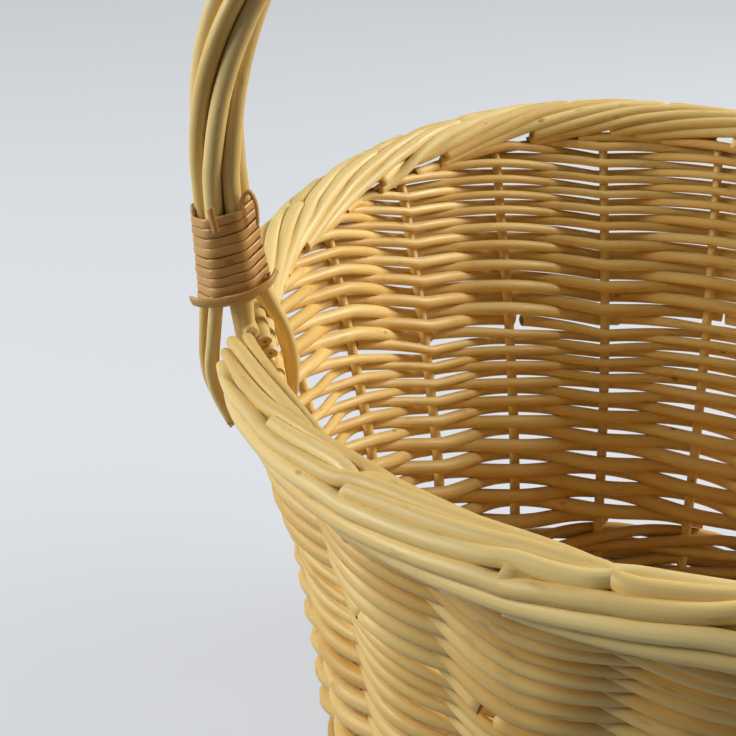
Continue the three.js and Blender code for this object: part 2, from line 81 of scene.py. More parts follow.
# Weave of the wall: two sets of rods, one rod of a set begun beside each stake
ROWS_PER_SET = 20
FIRST_PITCHES = ((0, 6.2), (3, 6.1), (7, 5.6), (11, 4.3), (15, 3.4), (19, 3.3))
SECOND_PITCHES = ((20, 5.0), (22, 5.0), (26, 4.2), (30, 3.5), (34, 3.1), (39, 3.6))
OPEN_ROW_GAP = 1.5
FULL_LIFT = 0.55
ROW_TIGHTNESS = 1.18
ROW_REACH = 0.86
ROW_TOP = 1.015
ROW_HIDDEN = 0.03
WALL_STEPS = 16
ROD_START_LEAD = 0.14
ROD_END_SPREAD = 0.04
TOP_RUN_ON = 1.9
ROD_UNEVEN = 0.035
WAVE_UNEVEN = 0.06
ROW_WANDER = 0.16
WEAVE_SIDES = 9
FOOT_EXTRA = 0.8
FOOT_SPREAD = 14

# Share of the wall's height by which the rows have risen, at each distance from a foot of the handle
HANDLE_LIFT_SHARES = ((0, 0.24), (50, 0.22), (106, 0.158), (160, 0.06), (213, 0.03), (266, 0))

# Border
BORDER_REACH = 9.9
SLICE = 4.0
ROD_STEP = 2.0

# Handle
BOW_RADIUS = 2.9
BOW_FOOT_RADIUS = 2.6
BOW_FOOT_DEPTH = 92
SPRING_HEIGHT = 66
SPRING_OUT = 6
ARCH_RISE = 128
STRANDS = 6
STRAND_LAY = 5.75
STRAND_TURNS = 10 / 6
BINDING_BOTTOM = 17.5
BINDING_TURNS = 9
BINDING_PITCH = 3.15
BINDING_WIDTH = 3.05
BINDING_THICKNESS = 0.95
BINDING_TILT = 1.9


# Shape of the ring

def rim_z(angle):
    return RIM_HEIGHT - RIM_RISE * np.cos(2 * angle)


def wall_point(angle, z, outward=0.0):
    """A point of the wall's middle at a height, moved outwards along the level ring's normal."""
    angle, z, outward = np.broadcast_arrays(*(np.asarray(v, float) for v in (angle, z, outward)))
    down = 1 - z / rim_z(angle)
    flare = down * (1 + FLARE_BEND) - FLARE_BEND * down * down
    span = RIM_HALF_SPAN - (RIM_HALF_SPAN - BASE_HALF_SPAN) * flare
    length = RIM_HALF_LENGTH - (RIM_HALF_LENGTH - BASE_HALF_LENGTH) * flare
    normal = np.stack([length * np.cos(angle), span * np.sin(angle)], -1)
    normal /= np.linalg.norm(normal, axis=-1, keepdims=True)
    x = span * np.cos(angle) + outward * normal[..., 0]
    y = length * np.sin(angle) + outward * normal[..., 1]
    return np.stack([x, y, z], -1)


def off_wall(angle, z, outward):
    """A point of the wall moved square to its slope, so that it goes down as it goes out."""
    lift = wall_point(angle, z + 1) - wall_point(angle, z - 1)
    out = wall_point(angle, z, 1.0) - wall_point(angle, z)
    slope = (lift * out).sum(-1) / lift[..., 2]
    square = (out - slope[..., None] * np.array([0, 0, 1])) / np.sqrt(1 + slope ** 2)[..., None]
    return wall_point(angle, z) + np.asarray(outward)[..., None] * square


RIM_PLACES = 1441
RIM_ANGLES = math.pi + np.linspace(0, 2 * math.pi, RIM_PLACES)
RIM_STEPS = np.linalg.norm(np.diff(wall_point(RIM_ANGLES, rim_z(RIM_ANGLES))[:, :2], axis=0), axis=1)
RIM_LENGTHS = np.concatenate([[0], np.cumsum(RIM_STEPS)])
RIM_LENGTH = RIM_LENGTHS[-1]
HALF_RIM = RIM_LENGTH / HALVES
SPACING = RIM_LENGTH / STAKES


def angle_at(distance):
    distance = np.asarray(distance, float)
    turns = np.floor(distance / RIM_LENGTH)
    along = distance - turns * RIM_LENGTH
    return np.interp(along, RIM_LENGTHS, RIM_ANGLES) + 2 * math.pi * turns


def border_point(distance, outward, up):
    """A point near the border's centre line, outwards and up from it."""
    angle = angle_at(distance)
    point = wall_point(angle, rim_z(angle), outward)
    point[..., 2] += up
    return point


# Random drift

def drift(rng, count, every):
    """Smooth random values from -1 to 1, one a point, that change over about `every` points."""
    knots = rng.uniform(-1, 1, int(count / every) + 4)
    place = np.arange(count) / every + rng.uniform(0, 1)
    low = np.floor(place).astype(int)
    share = place - low
    share = share * share * (3 - 2 * share)
    return knots[low] * (1 - share) + knots[low + 1] * share


def resampled(line, step):
    """A smooth line through the given points, with points about `step` apart."""
    line = np.asarray(line, float)
    padded = np.vstack([2 * line[0] - line[1], line, 2 * line[-1] - line[-2]])
    points = []
    for i in range(1, len(padded) - 2):
        before, start, end, after = padded[i - 1:i + 3]
        count = max(2, int(np.linalg.norm(end[:3] - start[:3]) / step))
        share = np.arange(count)[:, None] / count
        points.append(0.5 * (
            2 * start + (end - before) * share + (2 * before - 5 * start + 4 * end - after) * share ** 2
            + (3 * start - before - 3 * end + after) * share ** 3))
    points.append(padded[-2][None])
    return np.vstack(points)


# Rods

CAP_REACHES = (0.06, 0.09, 0.1)
CAP_WIDTHS = (0.93, 0.45)
CAP_MARKS = (1.0, 1.5, 2.0)
START_SIDE = (0.3, 0.5, 0.8)
GRAIN_SPREAD = 400


class Bundle:
    """Rods that make up one piece, gathered as one mesh with the marks that its material reads."""

    def __init__(self):
        self.points, self.quads, self.fans = [], [], []
        self.grain, self.tone, self.cut = [], [], []
        self.count = 0

    def rod(self, rng, line, radii, sides=10, tone=None, slants=(0.25, 0.25), flat=None):
        """Adds a rod along a line. flat gives a strip's outward directions and its thickness share."""
        line = np.asarray(line, float)
        count = len(line)
        radii = np.broadcast_to(np.asarray(radii, float), count).copy()
        ahead = np.gradient(line, axis=0)
        ahead /= np.linalg.norm(ahead, axis=1, keepdims=True)
        if flat is None:
            across = np.empty_like(line)
            side = np.cross(ahead[0], START_SIDE)
            for i, way in enumerate(ahead):
                side = side - way * np.dot(side, way)
                side /= np.linalg.norm(side)
                across[i] = side
            thin = 1.0
        else:
            outward, thin = flat
            across = np.cross(ahead, outward)
            across /= np.linalg.norm(across, axis=1, keepdims=True)
        aside = np.cross(ahead, across)
        turns = 2 * math.pi * np.arange(sides) / sides
        turned = rng.uniform(0, 2 * math.pi) if flat is None else 0
        round_cos, round_sin = np.cos(turns + turned), np.sin(turns + turned)
        along = np.concatenate([[0], np.cumsum(np.linalg.norm(np.diff(line, axis=0), axis=1))])
        offset = rng.uniform(0, GRAIN_SPREAD, 3)
        tone = rng.uniform(0, 1) if tone is None else tone
        section = round_cos[None, :, None] * across[:, None]
        section = section + thin * round_sin[None, :, None] * aside[:, None]
        rings = line[:, None] + radii[:, None, None] * section
        rings[0] += (ahead[0] * slants[0] * radii[0] * np.cos(turns)[:, None])
        rings[-1] += (ahead[-1] * slants[1] * radii[-1] * np.cos(turns)[:, None])
        first_caps = [rings[0].mean(0) + (rings[0] - rings[0].mean(0)) * w - ahead[0] * radii[0] * r
                      for w, r in zip(CAP_WIDTHS, CAP_REACHES)]
        last_caps = [rings[-1].mean(0) + (rings[-1] - rings[-1].mean(0)) * w + ahead[-1] * radii[-1] * r
                     for w, r in zip(CAP_WIDTHS, CAP_REACHES)]
        rows = first_caps[::-1] + list(rings) + last_caps
        cap_marks = [np.full(sides, mark) for mark in CAP_MARKS[:2]]
        marks = cap_marks[::-1] + [np.zeros(sides)] * count + cap_marks
        places = [0, 0] + list(along) + [along[-1]] * 2
        tips = [rings[0].mean(0) - ahead[0] * radii[0] * CAP_REACHES[2],
                rings[-1].mean(0) + ahead[-1] * radii[-1] * CAP_REACHES[2]]
        total = len(rows)
        points = np.vstack(rows + [np.array(tips)])
        wide = np.concatenate([[radii[0]] * 2, radii, [radii[-1]] * 2])
        grain = np.empty((total, sides, 3))
        grain[..., 0] = np.array(places)[:, None]
        grain[..., 1] = wide[:, None] * np.cos(turns)[None]
        grain[..., 2] = wide[:, None] * np.sin(turns)[None]
        grain = grain.reshape(-1, 3) + offset
        grain = np.vstack([grain, [offset, offset]])
        cut = np.concatenate([np.concatenate(marks), [CAP_MARKS[2]] * 2])
        index = np.arange(total * sides).reshape(total, sides)
        after = np.roll(index, -1, axis=1)
        quads = np.stack([index[:-1], after[:-1], after[1:], index[1:]], -1).reshape(-1, 4)
        first_tip, last_tip = total * sides, total * sides + 1
        fans = np.concatenate([
            np.stack([after[0], index[0], np.full(sides, first_tip)], -1),
            np.stack([index[-1], after[-1], np.full(sides, last_tip)], -1)])
        self.points.append(points)
        self.quads.append(quads + self.count)
        self.fans.append(fans + self.count)
        self.grain.append(grain)
        self.tone.append(np.full(len(points), tone))
        self.cut.append(cut)
        self.count += len(points)
        return self

    def piece(self, name, material, slot, *nodes):
        """Makes the mesh, and says what it rides on and which solids it stands for."""
        points = np.vstack(self.points) * MM
        quads, fans = np.vstack(self.quads), np.vstack(self.fans)
        mesh = bpy.data.meshes.new(name)
        mesh.vertices.add(len(points))
        mesh.vertices.foreach_set("co", points.ravel())
        corners = np.concatenate([quads.ravel(), fans.ravel()])
        mesh.loops.add(len(corners))
        mesh.loops.foreach_set("vertex_index", corners.astype(np.int32))
        sizes = np.concatenate([np.full(len(quads), 4), np.full(len(fans), 3)])
        starts = np.concatenate([[0], np.cumsum(sizes)[:-1]])
        mesh.polygons.add(len(sizes))
        mesh.polygons.foreach_set("loop_start", starts.astype(np.int32))
        mesh.polygons.foreach_set("use_smooth", np.ones(len(sizes), bool))
        mesh.update(calc_edges=True)
        grain = mesh.attributes.new("grain", "FLOAT_VECTOR", "POINT")
        grain.data.foreach_set("vector", np.vstack(self.grain).astype(np.float32).ravel())
        for label, values in (("tone", self.tone), ("cut", self.cut)):
            mark = mesh.attributes.new(label, "FLOAT", "POINT")
            mark.data.foreach_set("value", np.concatenate(values).astype(np.float32))
        mesh.materials.append(material)
        piece = bpy.data.objects.new(name, mesh)
        bpy.context.collection.objects.link(piece)
        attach(piece, "root")
        if nodes:
            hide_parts(*nodes)
        return piece


# Materials

def linear(red, green, blue):
    """A colour as a screen shows it, from 0 to 255, as the shader takes it."""
    def one(value):
        value /= 255
        return value / 12.92 if value <= 0.04045 else ((value + 0.055) / 1.055) ** 2.4
    return (one(red), one(green), one(blue), 1)


class Nodes:
    """Short calls for a material's node tree."""

    def __init__(self, name):
        self.material = bpy.data.materials.new(name)
        self.material.use_nodes = True
        self.tree = self.material.node_tree
        self.shader = self.tree.nodes["Principled BSDF"]

    def add(self, kind, settings=None, inputs=None):
        node = self.tree.nodes.new(kind)
        for key, value in (settings or {}).items():
            setattr(node, key, value)
        for key, value in (inputs or {}).items():
            if isinstance(value, bpy.types.NodeSocket):
                self.tree.links.new(value, node.inputs[key])
            else:
                node.inputs[key].default_value = value
        return node

    def mark(self, name, output):
        return self.add("ShaderNodeAttribute", {"attribute_name": name}).outputs[output]

    def math(self, operation, first, second=0.0, clamp=False):
        settings = {"operation": operation, "use_clamp": clamp}
        node = self.add("ShaderNodeMath", settings, {0: first, 1: second})
        return node.outputs[0]

    def stretched(self, vector, scales):
        node = self.add("ShaderNodeVectorMath", {"operation": "MULTIPLY"}, {0: vector, 1: scales})
        return node.outputs[0]

    def noise(self, vector, detail=3.0, roughness=0.55):
        node = self.add("ShaderNodeTexNoise", None, {
            "Vector": vector, "Scale": 1.0, "Detail": detail, "Roughness": roughness})
        return node.outputs["Fac"]

    def ranged(self, value, low, high, to_low=0.0, to_high=1.0):
        node = self.add("ShaderNodeMapRange", {"clamp": True}, {
            "Value": value, "From Min": low, "From Max": high, "To Min": to_low, "To Max": to_high})
        return node.outputs[0]

    def mixed(self, share, first, second):
        node = self.add("ShaderNodeMix", {"data_type": "RGBA"}, {0: share, 6: first, 7: second})
        return node.outputs[2]


STREAK_STRETCH = (0.045, 1.5, 1.5)
SLOW_STRETCH = (0.012, 0.09, 0.09)
BLOTCH_STRETCH = (0.09, 0.35, 0.35)
KNOT_STRETCH = (0.09, 0.16, 0.16)
KNOT_COLOUR = linear(118, 76, 36)
KNOT_STRENGTH = 0.6
PITH_COLOUR = linear(134, 96, 56)
BUMP_STRENGTH = 0.35
BUMP_DEPTH = 0.0005
WILLOW_SPECULAR = 0.45


def willow(name, pale, gold, dark, cut_colour, gloss=0.42, streak=0.5):
    """Peeled willow: fine streaks along the rod, a slow change of tone, small knots and pithy cut ends."""
    n = Nodes(name)
    grain, tone, cut = n.mark("grain", "Vector"), n.mark("tone", "Fac"), n.mark("cut", "Fac")
    streaks = n.noise(n.stretched(grain, STREAK_STRETCH), 4.0, 0.6)
    slow = n.noise(n.stretched(grain, SLOW_STRETCH), 2.0)
    blotch = n.noise(n.stretched(grain, BLOTCH_STRETCH), 3.0)
    share = n.math("ADD", n.math("MULTIPLY", tone, 0.55), n.math("MULTIPLY", slow, 0.75))
    streaky = n.math("MULTIPLY", n.math("SUBTRACT", streaks, 0.5), streak)
    share = n.math("ADD", n.math("SUBTRACT", share, 0.3), streaky)
    colour = n.mixed(n.math("MULTIPLY", share, 1.0, clamp=True), pale, gold)
    stain = n.ranged(blotch, 0.62, 0.78, 0.0, 0.45)
    colour = n.mixed(stain, colour, dark)
    cells = n.add("ShaderNodeTexVoronoi", None, {
        "Vector": n.stretched(grain, KNOT_STRETCH), "Scale": 1.0, "Randomness": 1.0})
    cell = n.add("ShaderNodeSeparateColor", None, {0: cells.outputs["Color"]}).outputs[0]
    rare = n.ranged(cell, 0.86, 0.9)
    near = n.ranged(cells.outputs["Distance"], 0.1, 0.2, 1.0, 0.0)
    knot = n.math("MULTIPLY", rare, near)
    colour = n.mixed(n.math("MULTIPLY", knot, KNOT_STRENGTH), colour, KNOT_COLOUR)
    face = n.ranged(cut, 0.55, 0.95)
    pith = n.ranged(cut, 1.5, 1.85)
    colour = n.mixed(face, colour, cut_colour)
    colour = n.mixed(pith, colour, PITH_COLOUR)
    n.tree.links.new(colour, n.shader.inputs["Base Color"])
    rough = n.ranged(streaks, 0.3, 0.7, gloss - 0.06, gloss + 0.14)
    rough = n.math("ADD", rough, n.math("MULTIPLY", face, 0.3))
    n.tree.links.new(rough, n.shader.inputs["Roughness"])
    height = n.math("ADD", n.math("MULTIPLY", streaks, 0.5), n.math("MULTIPLY", blotch, 0.9))
    height = n.math("SUBTRACT", height, n.math("MULTIPLY", knot, 0.8))
    bump = n.add("ShaderNodeBump", None, {
        "Strength": BUMP_STRENGTH, "Distance": BUMP_DEPTH, "Height": height})
    n.tree.links.new(bump.outputs[0], n.shader.inputs["Normal"])
    n.shader.inputs["Specular IOR Level"].default_value = WILLOW_SPECULAR
    return n.material


cream = willow(
    "cream_willow", linear(244, 220, 150), linear(220, 178, 94), linear(146, 94, 38), linear(214, 178, 112))
gold = willow(
    "gold_willow", linear(242, 212, 136), linear(217, 168, 78), linear(156, 100, 38), linear(170, 124, 66))
honey = willow(
    "honey_willow", linear(228, 196, 122), linear(198, 148, 72), linear(140, 92, 40), linear(190, 150, 92))
SKEIN_GLOSS = 0.34
SKEIN_STREAK = 0.9
skein = willow(
    "split_willow", linear(216, 170, 100), linear(182, 130, 68), linear(124, 80, 38), linear(214, 176, 118),
    SKEIN_GLOSS, SKEIN_STREAK)


# Side stakes: a foot under the base, the upright, and a tip that leads into the border

def stake_distances():
    distances = []
    for half in range(HALVES):
        for i in range(STAKES_PER_HALF):
            along = -STAKE_BESIDE_HANDLE if i == 0 else (i + STAKE_START) * SPACING
            distances.append(half * HALF_RIM + along)
    return np.array(distances)


STAKE_DISTANCES = stake_distances()


def wall_height_at(angle, share):
    return WALE_HEIGHT + (rim_z(angle) - WALL_TOP_DROP - WALE_HEIGHT) * share


def stake_radius(share):
    return STAKE_BUTT + (STAKE_TIP - STAKE_BUTT) * share


def make_stakes():
    rng = np.random.default_rng(11)
    for i, distance in enumerate(STAKE_DISTANCES):
        angle = angle_at(distance)
        line = [wall_point(angle, BASE_MIDDLE, -STAKE_FOOT), wall_point(angle, BASE_MIDDLE, -STAKE_BEND)]
        line.append(wall_point(angle, BASE_MIDDLE + 0.3 * STAKE_BEND, -0.3 * STAKE_BEND))
        line.append(wall_point(angle, BASE_MIDDLE + STAKE_BEND, 0))
        for share in np.linspace(0, 1, STAKE_PLACES):
            wander = rng.uniform(-STAKE_WANDER, STAKE_WANDER)
            line.append(wall_point(angle, wall_height_at(angle, share), wander))
        to_foot = HALF_RIM - distance % HALF_RIM
        lead = min(STAKE_TOP_LEAD, max(to_foot - STAKE_SHORT_OF_FOOT, STAKE_LEAST_LEAD))
        for share, outward, up in STAKE_TIP_WAY:
            line.append(border_point(distance + share * lead, outward, up))
        line = resampled(line, 3.0)
        radii = np.interp(np.linspace(0, 1, len(line)), STAKE_TAPER_SHARES,
                          (STAKE_BUTT, STAKE_TIP, STAKE_NECK, STAKE_END))
        half = "near" if i < STAKES_PER_HALF else "far"
        node = f"side_stake_{half}_{i % STAKES_PER_HALF + 1:02d}"
        bundle = Bundle().rod(rng, line, radii, 10, rng.uniform(0.2, 1))
        bundle.piece(f"{node}_rod", gold, "side_stakes", node)


make_stakes()


# Wall: rows of rods that pass in front of one stake and behind the next

WEAVE_PHASES = np.arange(-STAKES, 4 * STAKES)


def weave_places():
    turns = WEAVE_PHASES // STAKES
    places = STAKE_DISTANCES[WEAVE_PHASES % STAKES] + turns * RIM_LENGTH
    beside = WEAVE_PHASES % STAKES_PER_HALF == 0
    return places + np.where(beside, STAKE_BESIDE_HANDLE / 2, 0)


WEAVE_PLACES = weave_places()


def distance_at(phase):
    return np.interp(phase, WEAVE_PHASES, WEAVE_PLACES)


WALL_RISE = RIM_HEIGHT + RIM_RISE - WALL_TOP_DROP - WALE_HEIGHT


def foot_widening(distance):
    """Extra room round the bow's ends, which stand in the wall beside a stake."""
    off = (distance + HALF_RIM / 2) % HALF_RIM - HALF_RIM / 2
    return FOOT_EXTRA * np.exp(-(off / FOOT_SPREAD) ** 2)


def row_table():
    """Each row's place in the wall as a share of its height at the far side, and its pitch."""
    rows = np.arange(2 * ROWS_PER_SET + 3)
    pitches = np.interp(rows, *zip(*(FIRST_PITCHES + SECOND_PITCHES)))
    gaps = np.where(rows == ROWS_PER_SET, OPEN_ROW_GAP, 0)
    tops = np.cumsum(pitches + gaps)
    height = tops[2 * ROWS_PER_SET - 1]
    return (tops - pitches / 2) / height, pitches / height * WALL_RISE


def row_lift(distance):
    """How far the rows have risen towards the nearer foot of the handle, as a share of the wall's height."""
    off = np.abs((distance + HALF_RIM / 2) % HALF_RIM - HALF_RIM / 2)
    return np.interp(off, *zip(*HANDLE_LIFT_SHARES))


def make_wall():
    rng = np.random.default_rng(5)
    bundle = Bundle()
    shares, pitches = row_table()
    rows = np.arange(len(shares))
    for first_row in (0, ROWS_PER_SET):
        last_row = first_row + ROWS_PER_SET
        for stake in range(STAKES):
            start = first_row - ROD_START_LEAD + rng.uniform(-ROD_END_SPREAD, ROD_END_SPREAD)
            run_on = TOP_RUN_ON if first_row else -ROD_START_LEAD
            end = last_row + run_on + rng.uniform(-ROD_END_SPREAD, ROD_END_SPREAD)
            row = np.arange(start, end, 1 / WALL_STEPS)
            phase = row + stake
            distance = distance_at(phase)
            angle = angle_at(distance)
            share = np.interp(row, rows, shares)
            lifted = share + np.minimum(1, share / FULL_LIFT) * row_lift(distance)
            seen = lifted < ROW_TOP + ROW_HIDDEN
            lifted = np.minimum(lifted, ROW_TOP)
            for part in np.split(np.arange(len(row)), np.flatnonzero(np.diff(seen.astype(int))) + 1):
                if not seen[part[0]] or len(part) < WALL_STEPS // 2:
                    continue
                radius = np.interp(row[part], rows, pitches) / 2 * ROW_TIGHTNESS
                radius = radius * (1 + ROD_UNEVEN * drift(rng, len(part), 14))
                reach = stake_radius(share[part]) + radius * ROW_REACH + foot_widening(distance[part])
                wave = np.cos(math.pi * row[part])
                outward = reach * wave * (1 + WAVE_UNEVEN * drift(rng, len(part), 16))
                z = wall_height_at(angle[part], lifted[part])
                z = z + ROW_WANDER * radius * drift(rng, len(part), 18)
                bundle.rod(rng, off_wall(angle[part], z, outward), radius, WEAVE_SIDES)
    return bundle.piece("wall_weave_rods", gold, "weave", "wall_weave")


make_wall()


# Wale at the foot: two courses of four thicker rods, twisted round the stakes

WALE_COURSES = 2
WALE_RODS = 4
WALE_ROD_RADIUS = 2.7
WALE_CLEARANCE = 0.2
WALE_WANDER = 0.25


def make_wale():
    rng = np.random.default_rng(7)
    bundle = Bundle()
    course = WALE_HEIGHT / WALE_COURSES
    rise = course / 2 - WALE_ROD_RADIUS
    reach = STAKE_BUTT + WALE_ROD_RADIUS + WALE_CLEARANCE
    for level in range(WALE_COURSES):
        for i in range(WALE_RODS):
            first = i * STAKES // WALE_RODS + level * 2
            phase = np.linspace(first - 0.1, first + STAKES + 0.3, int((STAKES + 0.4) * WALL_STEPS))
            distance = distance_at(phase)
            turn = math.pi / 2 * (phase - i) + level * 0.8
            along = np.linspace(0, 1, len(phase))
            radius = WALE_ROD_RADIUS * np.interp(along, (0, 0.02, 0.95, 1), (0.98, 1.03, 0.93, 0.55))
            height = course * (level + 0.5) + rise * np.sin(turn) + WALE_WANDER * drift(rng, len(phase), 20)
            height = np.maximum(height, WALE_ROD_RADIUS * 1.04)
            line = wall_point(angle_at(distance), height, (reach + foot_widening(distance)) * np.cos(turn))
            bundle.rod(rng, line, radius, 10)
    return bundle.piece("foot_wale_rods", honey, "wale", "foot_wale")


make_wale()


# Border: rods that start outside or on top, roll over the top and dive on the inside

GENERIC_LONG = ((0, -62), (50, 2), (88, 38), (125, 62), (165, 100), (205, 155), (240, 205))
GENERIC_SHORT = ((0, 54), (10, 66), (40, 80), (88, 92), (128, 122), (165, 172), (184, 205))
LAID_AT_FOOT = (
    # Each rod's distances from the foot with its roll there, then its radius at the butt and at the tip
    (((16, 96), (36, 118), (60, 150), (90, 190), (118, 236)), 2.1, 1.8),
    (((18, 60), (30, 84), (48, 96), (106, 104), (150, 140), (190, 190), (226, 236)), 2.6, 2.3),
    (((21, 40), (41, 62), (68, 66), (105, 112), (150, 180), (185, 236)), 2.4, 2.0),
    (((16, -3), (37, -2), (61, 30), (77, 45), (92, 60), (105, 68), (140, 112), (180, 180), (212, 236)),
     2.5, 2.2),
    (((16, -52), (48, 5), (72, 24), (94, 30), (109, 36), (122, 48), (140, 54), (159, 66), (200, 105),
      (250, 190), (280, 236)), 2.55, 2.3),
    (((70, 60), (88, 75), (111, 81), (152, 84), (195, 120), (240, 185), (272, 236)), 2.55, 2.3),
    (((60, -55), (77, -32), (97, -34), (112, -9), (122, 6), (142, 22), (180, 50), (230, 96),
      (280, 170), (320, 236)), 2.55, 2.3),
    (((108, 60), (126, 69), (158, 75), (200, 92), (245, 130), (290, 190), (318, 236)), 2.6, 2.3),
    (((104, -58), (135, -38), (160, -5), (200, 35), (250, 75), (300, 130), (350, 210), (368, 236)),
     2.55, 2.3),
    (((155, 48), (177, 57), (220, 80), (265, 100), (310, 150), (352, 215), (368, 236)), 2.6, 2.3),
    (((158, -60), (205, -5), (250, 38), (290, 70), (335, 120), (385, 200), (405, 236)), 2.55, 2.3),
    (((204, 52), (214, 66), (250, 82), (300, 98), (345, 140), (385, 200), (410, 236)), 2.6, 2.3),
)
GENERIC_STARTS = (211, 264, 317, 370)
LAST_STARTS = (423,)
END_REACH = 16
END_ROLL = 208
CORE_RADIUS = 2.4
BORDER_START = 8
LAY_SKIN = 0.2
LATE_START = 95
LATE_LENGTH = 80
LATE_ROLL = 128
TIP_STOP = 13
INSIDE_ROLL = 120
BUTT_SHARE = 0.78
BUTT_LENGTH = 34
ROLL_WANDER = 3
BORDER_UNEVEN = 0.03
PACKING_ROUNDS = 260
PACKING_TOUCH = 0.98
PACKING_STEP = 0.35
PACKING_PULL = 0.05
WALL_HALF_WIDTH = 7
WALL_SKIN = 0.1


def border_rolls():
    """For each rod of a half: its distances, rolls in degrees, and radii at butt and tip."""
    rods = [(np.array(lay, float), butt, tip) for lay, butt, tip in LAID_AT_FOOT]
    for start in GENERIC_STARTS:
        rods.append((np.array(GENERIC_LONG) + (start, 0), 2.7, 2.3))
        rods.append((np.array(GENERIC_SHORT) + (start + 48, 0), 2.75, 2.4))
    for start in LAST_STARTS:
        rods.append((np.array(GENERIC_LONG) + (start, 0), 2.6, 2.3))
    return rods


def border_paths(rng):
    """Packs the rods round the border's core, slice by slice, so that none runs through another."""
    rods = border_rolls()
    places = np.arange(BORDER_START, HALF_RIM + END_REACH, SLICE)
    shape = (len(rods), len(places))
    target, radius, present = np.zeros(shape + (2,)), np.zeros(shape), np.zeros(shape, bool)
    for i, (lay, butt, tip) in enumerate(rods):
        rolls = np.interp(places, lay[:, 0], lay[:, 1])
        late = np.clip((places - (HALF_RIM - LATE_START)) / LATE_LENGTH, 0, 1)
        late = late * late * (3 - 2 * late)
        rolls = rolls + late * np.maximum(0, LATE_ROLL - rolls) * np.clip((rolls + 70) / 110, 0, 1)
        rolls = rolls + ROLL_WANDER * drift(rng, len(places), 8)
        share = np.clip((places - lay[0, 0]) / (lay[-1, 0] - lay[0, 0]), 0, 1)
        radius[i] = (butt + (tip - butt) * share) * (1 + BORDER_UNEVEN * drift(rng, len(places), 6))
        radius[i] *= np.interp(places - lay[0, 0], (0, BUTT_LENGTH), (BUTT_SHARE, 1))
        reach = BORDER_REACH - radius[i] - LAY_SKIN
        target[i, :, 0] = reach * np.cos(np.radians(rolls))
        target[i, :, 1] = reach * np.sin(np.radians(rolls))
        present[i] = (places >= lay[0, 0] - SLICE / 2) & (places <= lay[-1, 0] + SLICE / 2)
        present[i] &= ((places <= HALF_RIM - TIP_STOP) | (rolls > INSIDE_ROLL)) & (rolls <= END_ROLL)
    spots = target.copy()
    both = present[:, None] & present[None]
    need = (radius[:, None] + radius[None]) * PACKING_TOUCH
    joined = present[:, 1:-1] & present[:, :-2] & present[:, 2:]
    for _ in range(PACKING_ROUNDS):
        apart = spots[:, None] - spots[None]
        gap = np.linalg.norm(apart, axis=-1)
        push = np.where(both & (gap > 1e-6), np.maximum(0, need - gap), 0) / np.maximum(gap, 1e-6)
        spots = spots + PACKING_STEP * (apart * push[..., None]).sum(1)
        middle = (spots[:, :-2] + spots[:, 2:]) / 2
        spots[:, 1:-1] += np.where(joined[..., None], PACKING_STEP * (middle - spots[:, 1:-1]), 0)
        spots += PACKING_PULL * (target - spots)
        far = np.linalg.norm(spots, axis=-1)
        out = np.maximum(far, 1e-6)
        spots *= (np.clip(far, radius + CORE_RADIUS * 0.6, BORDER_REACH - radius) / out)[..., None]
        rest = -WALL_TOP_DROP + radius + WALL_SKIN
        over_wall = np.abs(spots[..., 0]) < WALL_HALF_WIDTH
        spots[..., 1] = np.where(over_wall, np.maximum(spots[..., 1], rest), spots[..., 1])
    return rods, places, spots, radius, present


def make_border():
    for half in range(HALVES):
        rng = np.random.default_rng(31 + half)
        rods, places, spots, radius, present = border_paths(rng)
        side = "near" if half == 0 else "far"
        for i in range(len(rods)):
            keep = present[i]
            line = border_point(places[keep] + half * HALF_RIM, spots[i, keep, 0], spots[i, keep, 1])
            both = resampled(np.column_stack([line, radius[i, keep]]), ROD_STEP)
            nodes = [f"border_rod_{side}_{i + 1:02d}"] if i < 11 else []
            Bundle().rod(rng, both[:, :3], both[:, 3], 14, None, (0.5, 0.4)).piece(
                f"border_{side}_{i + 1:02d}_rod", cream, "border", *nodes)


make_border()


# Handle: a bow from foot to foot, with strands laid round it

FOOT_Z = float(rim_z(math.pi))


def bow_line():
    line = [wall_point(math.pi, FOOT_Z - BOW_FOOT_DEPTH * share) for share in (1, 0.62, 0.3, 0.1)]
    for share in (0, 0.4, 0.75):
        bulge = math.sin(share * math.pi / 2)
        line.append((-RIM_HALF_SPAN - SPRING_OUT * bulge, 0, FOOT_Z + SPRING_HEIGHT * share))
    spring_x = RIM_HALF_SPAN + SPRING_OUT
    for turn in np.linspace(0, math.pi / 2, 13):
        line.append((-spring_x * math.cos(turn), 0, FOOT_Z + SPRING_HEIGHT + ARCH_RISE * math.sin(turn)))
    line = np.array(line)
    other = line[:-1][::-1] * (-1, 1, 1)
    return resampled(np.vstack([line, other]), 1.0)


BOW = bow_line()
BOW_ALONG = np.concatenate([[0], np.cumsum(np.linalg.norm(np.diff(BOW, axis=0), axis=1))])
BOW_LENGTH = BOW_ALONG[-1]


def bow_at(along):
    return np.stack([np.interp(along, BOW_ALONG, BOW[:, k]) for k in range(3)], -1)


def along_at_height(height):
    """Distance along the bow at which its first side reaches a height over the border's centre line."""
    top = len(BOW) // 2
    return np.interp(FOOT_Z + height, BOW[:top, 2], BOW_ALONG[:top])


BINDING_TOP = BINDING_BOTTOM + BINDING_PITCH * BINDING_TURNS
LEAD = float(along_at_height(BINDING_TOP))
STRAND_RADII = (2.85, 2.65, 2.9, 2.7, 2.9, 2.75)

